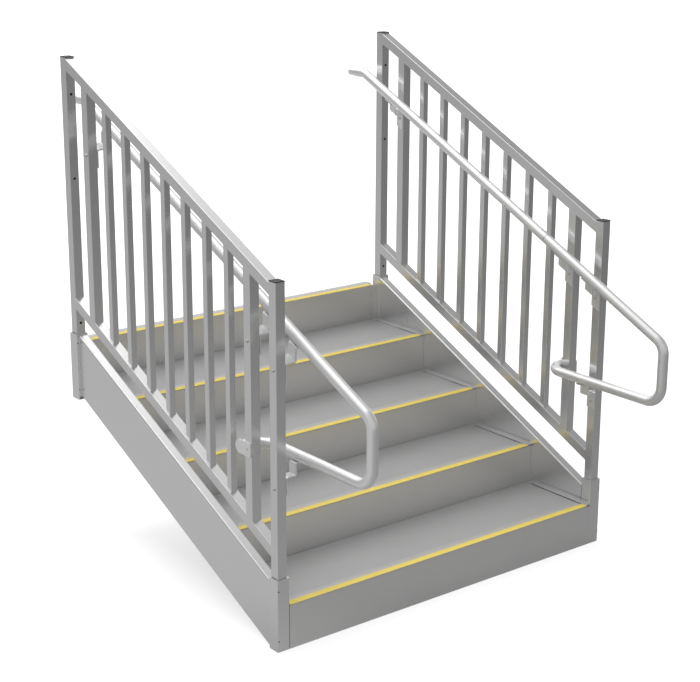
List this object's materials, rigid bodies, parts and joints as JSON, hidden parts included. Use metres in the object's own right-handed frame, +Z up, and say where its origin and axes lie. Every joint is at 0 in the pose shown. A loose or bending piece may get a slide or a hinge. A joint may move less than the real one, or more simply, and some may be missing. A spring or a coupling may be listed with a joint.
{
  "type": "access stair",
  "caption": "Aluminium stair with deep stringers, ribbed treads, yellow step edges and two lift-out picket guards with looped handrails.",
  "frame": {"origin": "middle of the bounding box's footprint, on the ground", "axes": "+X across the flight to the right of someone going up, +Y up the flight towards the landing, +Z up"},
  "size_m": [1.5642, 1.8338, 1.8855],
  "materials": {
    "frame": "satin mill finish",
    "guard": "satin mill finish",
    "handrail": "smooth, brighter than the guards",
    "tread": "finely ribbed across the step",
    "edge_strip": "yellow, non-slip",
    "cap": "black, moulded"
  },
  "bodies": {
    "flight": {"stringer_left": "frame", "stringer_right": "frame", "sleeve_front_left": "frame", "sleeve_front_right": "frame", "sleeve_rear_left": "frame", "sleeve_rear_right": "frame", "riser_1": "frame", "riser_2": "frame", "riser_3": "frame", "riser_4": "frame", "riser_5": "frame", "tread_1": "tread", "tread_2": "tread", "tread_3": "tread", "tread_4": "tread", "edge_strip_1": "edge_strip", "edge_strip_2": "edge_strip", "edge_strip_3": "edge_strip", "edge_strip_4": "edge_strip", "edge_strip_5": "edge_strip"},
    "guard_left": {"post_front_left": "guard", "post_rear_left": "guard", "rail_top_left": "guard", "rail_bottom_left": "guard", "picket_strong_low_left": "guard", "picket_strong_high_left": "guard", "picket_1_left": "guard", "picket_2_left": "guard", "picket_3_left": "guard", "picket_4_left": "guard", "picket_5_left": "guard", "picket_6_left": "guard", "picket_7_left": "guard", "cap_front_left": "cap", "cap_rear_left": "cap", "handrail_upper_left": "handrail", "handrail_loop_left": "handrail", "bracket_front_left": "handrail", "bracket_low_left": "handrail", "bracket_high_left": "handrail"},
    "guard_right": {"post_front_right": "guard", "post_rear_right": "guard", "rail_top_right": "guard", "rail_bottom_right": "guard", "picket_strong_low_right": "guard", "picket_strong_high_right": "guard", "picket_1_right": "guard", "picket_2_right": "guard", "picket_3_right": "guard", "picket_4_right": "guard", "picket_5_right": "guard", "picket_6_right": "guard", "picket_7_right": "guard", "cap_front_right": "cap", "cap_rear_right": "cap", "handrail_upper_right": "handrail", "handrail_loop_right": "handrail", "bracket_front_right": "handrail", "bracket_low_right": "handrail", "bracket_high_right": "handrail"}
  },
  "joints": [
    {"name": "guard_left_lift", "type": "slide", "parent": "flight", "child": "guard_left", "axis": [0, 0, 1], "range_m": [0, 0.275]},
    {"name": "guard_right_lift", "type": "slide", "parent": "flight", "child": "guard_right", "axis": [0, 0, 1], "range_m": [0, 0.275]}
  ]
}
